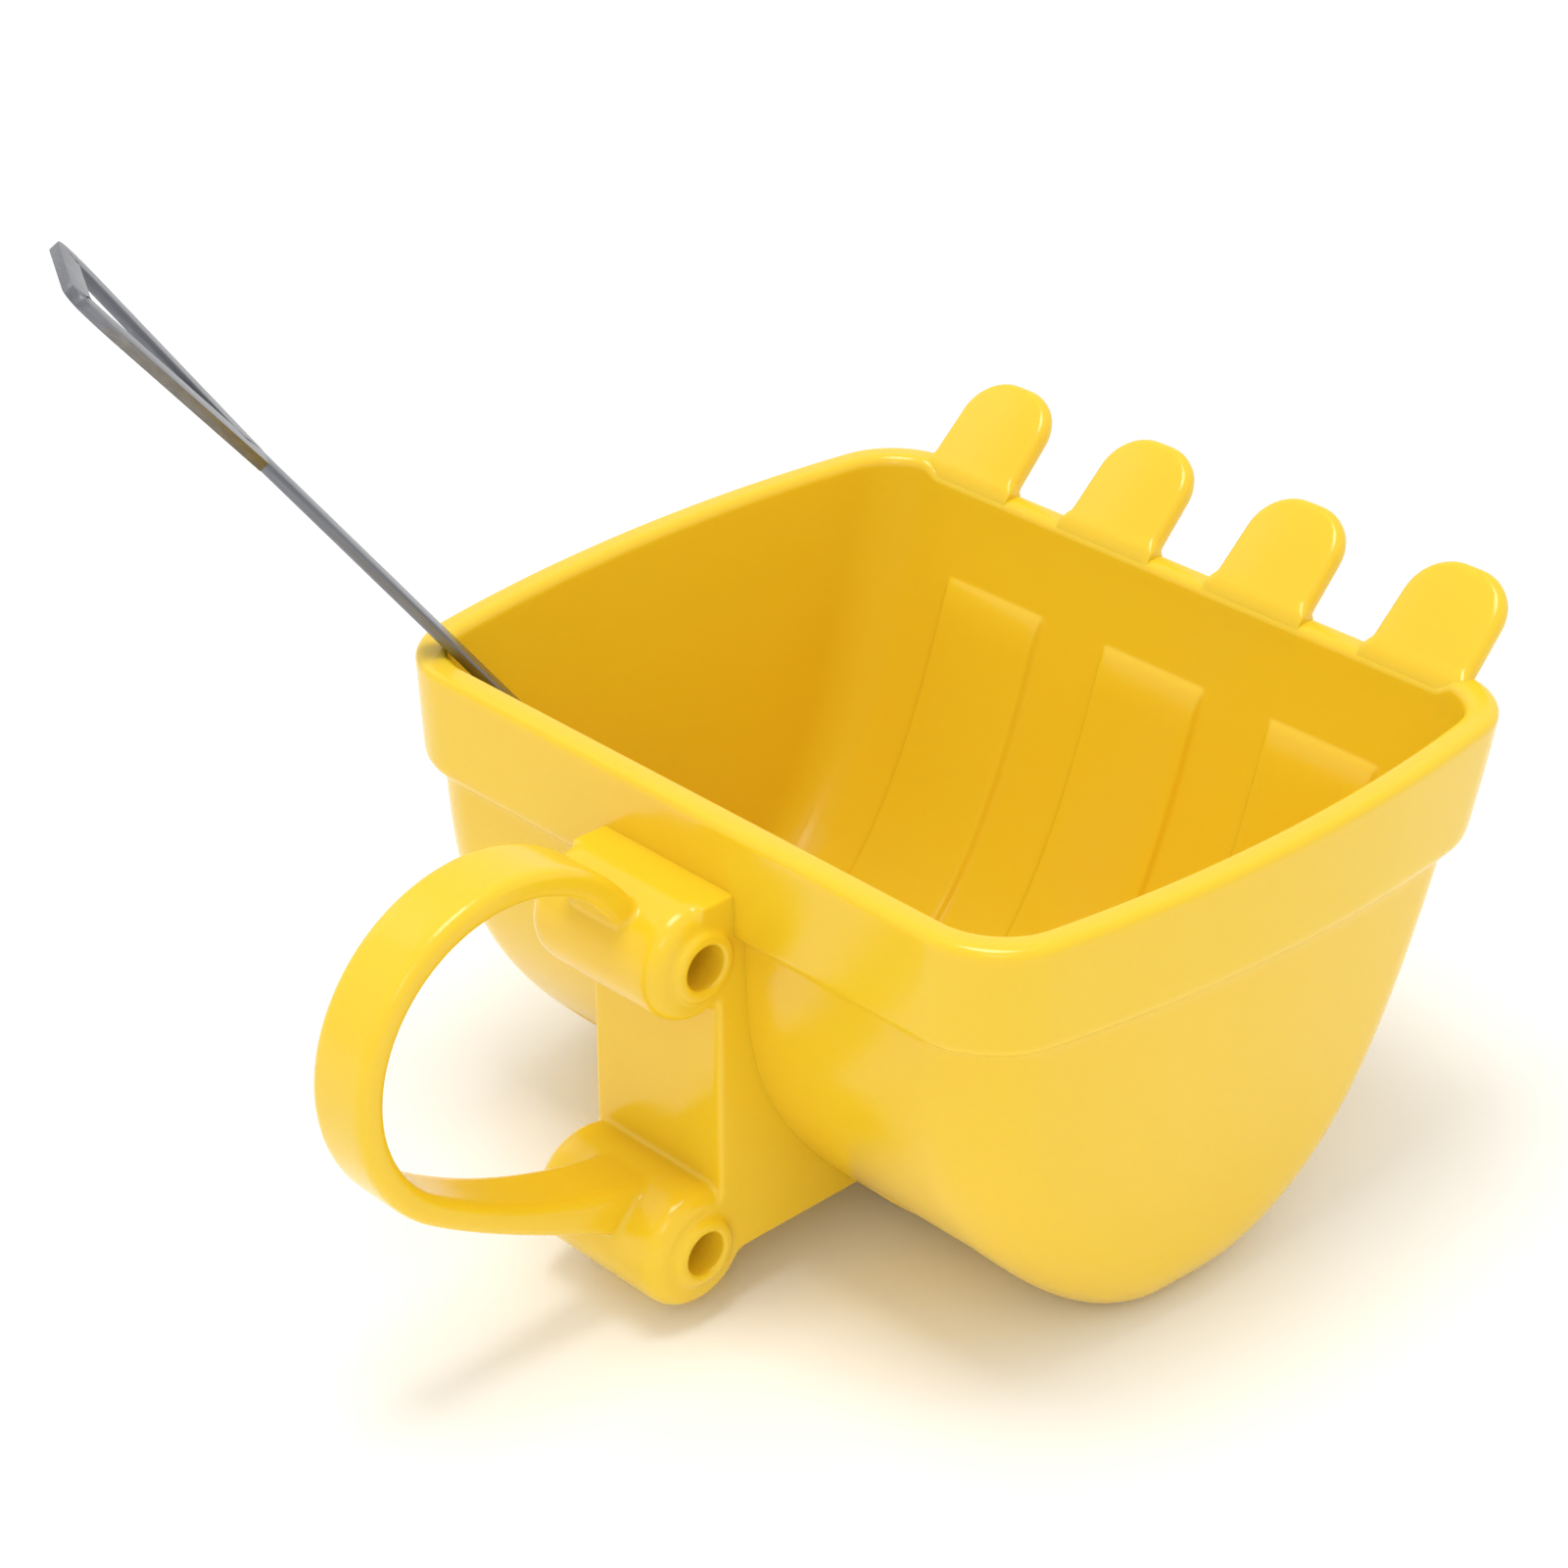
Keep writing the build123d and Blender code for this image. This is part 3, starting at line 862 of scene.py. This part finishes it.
# ------------------------------------------------------------------ coupler
@dataclass
class Coupler:
    """Block, pin tubes, foot and finger loop, moulded in one with soft blends between them."""

    form: BucketForm
    half_w: float = 11.2
    face_x: float = -42.1
    web_edge_r: float = 3.6
    under_z: float = 7.6
    upper_pin: tuple[float, float] = (-44.7, 50.2)
    upper_r: float = 7.55
    lower_pin: tuple[float, float] = (-45.2, 10.4)
    lower_r: float = 7.95
    end_r: float = 2.4
    bore_r: float = 2.85
    collar_r: float = 4.4
    collar_proud: float = 0.9
    foot_x: tuple[float, float] = (-46.6, -37.6)
    foot_half_w: float = 5.4
    loop_c: tuple[float, float] = (-67.0, 45.4)
    loop_r: float = 20.3
    loop_w: float = 9.6
    loop_t: float = 3.6
    loop_edge_r: float = 1.4
    loop_start: float = 30.0    # the loop's round part runs between these angles
    loop_end: float = 235.0
    limb_end: tuple[float, float] = (-47.0, 14.2)
    limb_reach: float = 15.0    # the limb first heads for a point this far straight on from the round part
    limb_steps: int = 18
    limb_gain: float = 0.085    # each step thickens it by up to this share
    block_sunk: float = 1.1     # the block's front lies this far inside the bucket's back
    block_points: int = 22
    mouth_flare: float = 0.45   # the bores' mouths widen by this much
    voxel: float = 0.36
    blend_rounds: int = 9

    @staticmethod
    def _cylinder(built: BMesh, centre: tuple, radius: float, half: float, edge: float) -> None:
        """Add a cross tube's solid with rounded ends.

        Args:
            built: The bmesh that gets it.
            centre: X and Z of its axis.
            radius: Its radius.
            half: Half its length.
            edge: Radius of its end rounds.
        """
        made = bmesh.ops.create_cone(
            built, cap_ends=True, segments=72, radius1=radius, radius2=radius, depth=2 * half,
            matrix=Matrix.Translation((centre[0], 0, centre[1])) @ Matrix.Rotation(radians(90), 4, "X"),
        )["verts"]
        rings = {e for v in made for e in v.link_edges if abs(e.verts[0].co.y - e.verts[1].co.y) < 1e-4}
        round_off(built, rings, edge, 5)

    def _block(self, built: BMesh) -> None:
        """Add the block, whose front follows the bucket's back just under its surface."""
        form = self.form
        top = self.upper_pin[1] + self.upper_r
        start = form.profile_at_height(top, front=False)
        end = form.profile_at_height(1.2, front=False)
        spots = np.linspace(start, end, self.block_points)
        index = np.searchsorted(form.along, spots)
        back = form.line[index] - form.outward[index] * self.block_sunk
        corners = [(self.upper_pin[0], top), *map(tuple, back)]
        lower = [c for c in corners if c[1] > self.under_z or c[0] < form.back_x]
        corners = [*lower, (lower[-1][0] + 1.0, self.under_z), (self.lower_pin[0], self.under_z)]
        corners += [(self.face_x, self.lower_pin[1] + 1), (self.face_x, self.upper_pin[1] - 1)]
        corners += [(self.upper_pin[0], self.upper_pin[1])]
        before = set(built.faces)
        side = face_of(built, [(x, -self.half_w, z) for x, z in corners])
        raise_faces(built, [side], (0, 2 * self.half_w, 0))
        made = [face for face in built.faces if face not in before]
        bmesh.ops.recalc_face_normals(built, faces=made)
        web = {
            e for face in made for e in face.edges
            if all(abs(v.co.x - self.face_x) < 0.01 for v in e.verts)
            and abs(e.verts[0].co.z - e.verts[1].co.z) > self.lower_r
        }
        round_off(built, web, self.web_edge_r, 6)

    def _ring(self, built: BMesh, centre: Vector, outward: Vector) -> list[BMFace]:
        """Add the loop's rounded cross-section.

        Args:
            built: The bmesh that gets it.
            centre: Its middle.
            outward: Direction away from the loop's middle.

        Returns:
            The new face, in a list.
        """
        across = Vector((0, 1, 0))
        signs = ((-1, -1), (1, -1), (1, 1), (-1, 1))
        face = face_of(built, [
            centre + outward * self.loop_t / 2 * a + across * self.loop_w / 2 * b for a, b in signs
        ])
        made = round_off(built, face.verts, self.loop_edge_r, 4, Rounding.CORNERS)
        return list({face for vert in made for face in vert.link_faces})

    def _loop(self, built: BMesh) -> None:
        """Add the finger loop: its round part by a spin, then the lower limb by extruding on."""
        centre = Vector((self.loop_c[0], 0, self.loop_c[1]))
        first = radians(self.loop_start)
        outward = Vector((cos(first), 0, sin(first)))
        before = set(built.faces)
        section = self._ring(built, centre + self.loop_r * outward, outward)
        edges, verts = {e for f in section for e in f.edges}, {v for f in section for v in f.verts}
        spun = bmesh.ops.spin(
            built, geom=[*section, *edges, *verts],
            cent=centre, axis=(0, -1, 0), dvec=(0, 0, 0),
            angle=radians(self.loop_end - self.loop_start), steps=64, use_merge=False, use_duplicate=False,
        )["geom_last"]
        end_face = only(BMFace, spun)
        last = radians(self.loop_end)
        here = centre + self.loop_r * Vector((cos(last), 0, sin(last)))
        heading = Vector((-sin(last), 0, cos(last)))
        goal = Vector((self.limb_end[0], 0, self.limb_end[1]))
        turn_point = here + heading * self.limb_reach
        previous, old_direction = here, heading
        for number in range(1, self.limb_steps + 1):
            share = number / self.limb_steps
            spot = here * (1 - share) ** 2 + turn_point * 2 * share * (1 - share) + goal * share ** 2
            direction = ((turn_point - here) * (1 - share) + (goal - turn_point) * share).normalized()
            grown = bmesh.ops.extrude_face_region(built, geom=end_face)["geom"]
            bmesh.ops.delete(built, geom=end_face, context="FACES_ONLY")
            end_face = only(BMFace, grown)
            verts = only(BMVert, grown)
            bmesh.ops.translate(built, verts=verts, vec=spot - previous)
            turn = old_direction.rotation_difference(direction).to_matrix()
            bmesh.ops.rotate(built, verts=verts, cent=spot, matrix=turn)
            gain = 1 + self.limb_gain * float(smoothstep(0.0, 1.0, np.array(share)))
            bmesh.ops.scale(built, verts=verts, vec=(gain, 1.0, gain), space=Matrix.Translation(-spot))
            previous, old_direction = spot, direction
        bmesh.ops.recalc_face_normals(built, faces=[f for f in built.faces if f not in before])

    def _cutter(self) -> bpy.types.Object:
        """Make the two bores' cutter, flared at its ends so that the holes' mouths are rounded."""
        drill = bmesh.new()
        mouth = self.half_w + self.collar_proud
        flare = self.mouth_flare
        for centre in (self.upper_pin, self.lower_pin):
            axis = Vector((centre[0], 0, centre[1]))
            sections = [(-mouth - 3, self.bore_r + flare), (-mouth + 0.02, self.bore_r + flare)]
            sections += [(-mouth + flare * 0.3, self.bore_r + flare * 0.3), (-mouth + flare, self.bore_r)]
            sections += [(-y, r) for y, r in reversed(sections)]
            line = [drill.verts.new(axis + Vector((r, y, 0))) for y, r in sections]
            for one, other in zip(line, line[1:]):
                drill.edges.new((one, other))
            edges = list({e for v in line for e in v.link_edges})
            bmesh.ops.spin(
                drill, geom=[*line, *edges], cent=axis, axis=(0, 1, 0), dvec=(0, 0, 0),
                angle=2 * pi, steps=64, use_merge=True, use_duplicate=False,
            )
        bmesh.ops.remove_doubles(drill, verts=drill.verts, dist=0.001)
        bmesh.ops.holes_fill(drill, edges=[e for e in drill.edges if e.is_boundary], sides=0)
        bmesh.ops.recalc_face_normals(drill, faces=drill.faces)
        return piece_from(drill, "bore_cutter")

    def build(self, plastic: bpy.types.Material) -> None:
        """Join the solids, blend them as moulded plastic is, and cut the bores."""
        built = bmesh.new()
        self._block(built)
        for centre, radius in ((self.upper_pin, self.upper_r), (self.lower_pin, self.lower_r)):
            self._cylinder(built, centre, radius, self.half_w, self.end_r)
            self._cylinder(built, centre, self.collar_r, self.half_w + self.collar_proud, 0.4)
        foot = bmesh.ops.create_cube(built, size=1)["verts"]
        middle = ((self.foot_x[0] + self.foot_x[1]) / 2, 0, self.under_z / 2 + 0.5)
        size = (self.foot_x[1] - self.foot_x[0], 2 * self.foot_half_w, self.under_z + 1)
        bmesh.ops.scale(built, verts=foot, vec=size)
        bmesh.ops.translate(built, verts=foot, vec=middle)
        self._loop(built)
        coupler = piece_from(built, "coupler")
        blend = coupler.modifiers.new("one_moulding", "REMESH")
        blend.mode = "VOXEL"
        blend.voxel_size = self.voxel * MM
        ease = coupler.modifiers.new("soft_blends", "SMOOTH")
        ease.factor, ease.iterations = 0.5, self.blend_rounds
        apply_modifiers(coupler)
        cutter = self._cutter()
        bores = coupler.modifiers.new("bores", "BOOLEAN")
        bores.operation, bores.object, bores.solver = "DIFFERENCE", cutter, "EXACT"
        bpy.context.view_layer.update()
        apply_modifiers(coupler)
        bpy.data.objects.remove(cutter)
        shaped = bmesh.new()
        shaped.from_mesh(coupler.data)
        shade(shaped, 50)
        shaped.to_mesh(coupler.data)
        shaped.free()
        names = ("coupler_block", "upper_pin_tube", "lower_pin_tube", "rear_foot", "finger_loop")
        settle(coupler, Body.MUG, plastic, names)


# ------------------------------------------------------------------ spoon
@dataclass
class Spoon:
    """Shovel-shaped spoon stamped from stainless sheet, leaning in the mug."""

    rest: Vector = field(default_factory=lambda: Vector((-35.0, 46.0, 67.8)))
    up: Vector = field(default_factory=lambda: Vector((-0.536, 0.321, 0.781)).normalized())
    side: Vector = field(default_factory=lambda: Vector((0.468, 0.882, -0.035)))
    thick: float = 1.4
    to_tip: float = 80.0
    to_end: float = 67.0
    blade_l: float = 44.0
    blade_w: float = 27.0
    neck_w: float = 25.0
    point_l: float = 14.0
    shoulder_l: float = 5.0
    shaft_w: float = 4.3
    grip_l: float = 34.0
    grip_w: float = 18.8
    grip_end_l: float = 5.0
    grip_bar: float = 3.4
    grip_corner_r: float = 2.6
    grip_shoulder_r: float = 2.0
    blade_corner_r: float = 5.4
    tip_share: float = 0.42     # the blade's blunt tip as a share of its width
    bowl_depth: float = 2.4
    bowl_share: float = 0.55    # half the bowl's length as a share of the blade's
    bowl_middle: float = 0.47   # and its middle, from the tip
    lap: float = 0.3            # the shaft runs this far into the blade and the grip
    edge_r: float = 0.38

    def __post_init__(self) -> None:
        """Lay out the spoon's own directions."""
        self.facing = self.side.cross(self.up).normalized()
        self.across = self.up.cross(self.facing).normalized()

    def _thicken(self, sheet: BMesh, dish: Callable[[float, float], float] | None = None) -> None:
        """Give a flat outline its thickness, rounded edges and place.

        Args:
            sheet: Outline in the spoon's own plane, X across and Y along.
            dish: Depth by which the sheet is pressed in, at a place across and along it.
        """
        raise_faces(sheet, sheet.faces, (0, 0, self.thick))
        bmesh.ops.translate(sheet, verts=sheet.verts, vec=(0, 0, -self.thick / 2))
        bmesh.ops.recalc_face_normals(sheet, faces=sheet.faces)
        edges = [e for e in sheet.edges if e.calc_face_angle(0) > radians(60)]
        round_off(sheet, edges, self.edge_r, 3, clamped=True)
        if dish:
            low = min(v.co.y for v in sheet.verts)
            high = max(v.co.y for v in sheet.verts)
            half = self.blade_w / 2
            for normal, first, last, parts in (((0, 1, 0), low, high, 26), ((1, 0, 0), -half, half, 18)):
                for part in range(1, parts):
                    cut_across(sheet, Vector(normal) * (first + part * (last - first) / parts), normal)
            for vert in sheet.verts:
                vert.co.z -= dish(vert.co.x, vert.co.y)
        for vert in sheet.verts:
            x, y, z = vert.co
            vert.co = self.rest + self.across * x + self.up * y + self.facing * z
        bmesh.ops.recalc_face_normals(sheet, faces=sheet.faces)

    def _grip(self) -> BMesh:
        """Slotted grip: a rounded outline whose inset middle is cut away."""
        sheet = bmesh.new()
        end, start = self.to_end, self.to_end - self.grip_l
        half, neck = self.grip_w / 2, self.shaft_w / 2
        outline = face_of(sheet, (
            (-neck, start, 0), (neck, start, 0), (half, end - self.grip_end_l, 0), (half, end, 0),
            (-half, end, 0), (-half, end - self.grip_end_l, 0),
        ))
        corners = [v for v in outline.verts if v.co.y > end - 0.1]
        round_off(sheet, corners, self.grip_corner_r, 6, Rounding.CORNERS)
        shoulders = [v for v in sheet.verts if abs(v.co.y - (end - self.grip_end_l)) < 0.1]
        round_off(sheet, shoulders, self.grip_shoulder_r, 4, Rounding.CORNERS)
        bmesh.ops.inset_region(
            sheet, faces=list(sheet.faces), thickness=self.grip_bar, use_boundary=True, use_even_offset=True
        )
        hole = max(sheet.faces, key=lambda face: face.calc_area())
        bmesh.ops.delete(sheet, geom=[hole], context="FACES_ONLY")
        self._thicken(sheet)
        return sheet

    def build(self, steel: bpy.types.Material) -> None:
        """Make the grip, the shaft and the blade."""
        grip = piece_from(self._grip(), "spoon_handle_end", 30)
        settle(grip, Body.SPOON, steel, ("spoon_grip",))
        sheet = bmesh.new()
        neck = self.shaft_w / 2
        low, high = -(self.to_tip - self.blade_l) - self.lap, self.to_end - self.grip_l + self.lap
        face_of(sheet, ((-neck, low, 0), (neck, low, 0), (neck, high, 0), (-neck, high, 0)))
        self._thicken(sheet)
        settle(piece_from(sheet, "spoon_stem", 30), Body.SPOON, steel, ("spoon_shaft",))
        sheet = bmesh.new()
        tip, top = -self.to_tip, -(self.to_tip - self.blade_l)
        half, waist = self.blade_w / 2, self.neck_w / 2
        outline = face_of(sheet, (
            (-neck, top, 0), (-waist, top - self.shoulder_l, 0), (-half, tip + self.point_l, 0),
            (-half * self.tip_share, tip, 0), (half * self.tip_share, tip, 0), (half, tip + self.point_l, 0),
            (waist, top - self.shoulder_l, 0), (neck, top, 0),
        ))
        soft = [v for v in outline.verts if abs(v.co.x) > neck + 0.1]
        round_off(sheet, soft, self.blade_corner_r, 6, Rounding.CORNERS)
        reach = self.blade_l * self.bowl_share

        def dish(x: float, y: float) -> float:
            """Depth of the pressed bowl at a place on the blade."""
            out = (x / half) ** 2 + ((y - tip - self.blade_l * self.bowl_middle) / reach) ** 2
            return self.bowl_depth * max(0.0, 1 - out) ** 0.9

        self._thicken(sheet, dish)
        settle(piece_from(sheet, "spoon_bowl", 30), Body.SPOON, steel, ("spoon_blade",))


# ------------------------------------------------------------------ studio
@dataclass
class Studio:
    """White sweep, soft lights and the camera."""

    camera_at: Vector = field(default_factory=lambda: Vector((-294.9, -287.1, 282.9)))
    aim: Vector = field(default_factory=lambda: Vector((-20.65, 0.487, 60.04)))
    lens: float = 88.2
    sensor: float = 36.0
    floor_half: float = 3.0
    sky: float = 0.84           # strength of the even light from all round

    def camera(self) -> None:
        """Put the camera at its place."""
        data = bpy.data.cameras.new("camera")
        data.lens, data.sensor_width, data.sensor_fit = self.lens, self.sensor, "HORIZONTAL"
        data.clip_start, data.clip_end = 0.02, 20.0
        camera = bpy.data.objects.new("camera", data)
        camera.location = self.camera_at * MM
        camera.rotation_mode = "QUATERNION"
        camera.rotation_quaternion = (self.aim - self.camera_at).to_track_quat("-Z", "Y")
        bpy.context.scene.collection.objects.link(camera)
        bpy.context.scene.camera = camera

    def floor(self) -> None:
        """Lay the sweep."""
        sweep = bmesh.new()
        bmesh.ops.create_grid(sweep, x_segments=2, y_segments=2, size=self.floor_half / MM)
        plane = piece_from(sweep, "sweep")
        plane.data.materials.append(MattSweep().make())

    def light(self, name: str, spot: tuple, size: float, watts: float) -> None:
        """Hang one soft light aimed at the mug.

        Args:
            name: Its name.
            spot: Where it hangs, in metres.
            size: Side of its square, in metres.
            watts: Its power.
        """
        data = bpy.data.lights.new(name, "AREA")
        data.shape, data.size, data.energy = "SQUARE", size, watts
        lamp = bpy.data.objects.new(name, data)
        lamp.location = spot
        lamp.rotation_mode = "QUATERNION"
        lamp.rotation_quaternion = (Vector((0, 0, 0.03)) - Vector(spot)).to_track_quat("-Z", "Y")
        bpy.context.scene.collection.objects.link(lamp)

    def build(self) -> None:
        """Set up everything that isn't the mug."""
        world = bpy.data.worlds.new("studio")
        world.use_nodes = True
        background = world.node_tree.nodes["Background"]
        background.inputs["Color"].default_value = (1, 1, 1, 1)
        background.inputs["Strength"].default_value = self.sky
        bpy.context.scene.world = world
        bpy.context.scene.view_settings.view_transform = "Standard"
        self.floor()
        self.light("key", (-0.12, 0.0, 1.0), 0.4, 3.8)
        self.light("fill", (-0.7, -0.6, 0.7), 0.35, 0.8)
        self.light("rim", (-0.2, 0.9, 0.7), 0.5, 0.5)
        self.camera()


def main() -> None:
    """Build the mug, its spoon and the studio."""
    logging.basicConfig(level=logging.INFO, format="%(name)s: %(message)s")
    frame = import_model()
    LOG.info("frame has %d nodes", len(frame["nodes"]))
    Studio().build()
    plastic = MouldedPolypropylene().make()
    form = BucketForm()
    Vessel(form).build(plastic)
    Teeth().build(plastic)
    Coupler(form).build(plastic)
    spoon = Spoon()
    spoon.build(BrushedStainless(along=spoon.up).make())


if __name__ == "__main__":
    main()
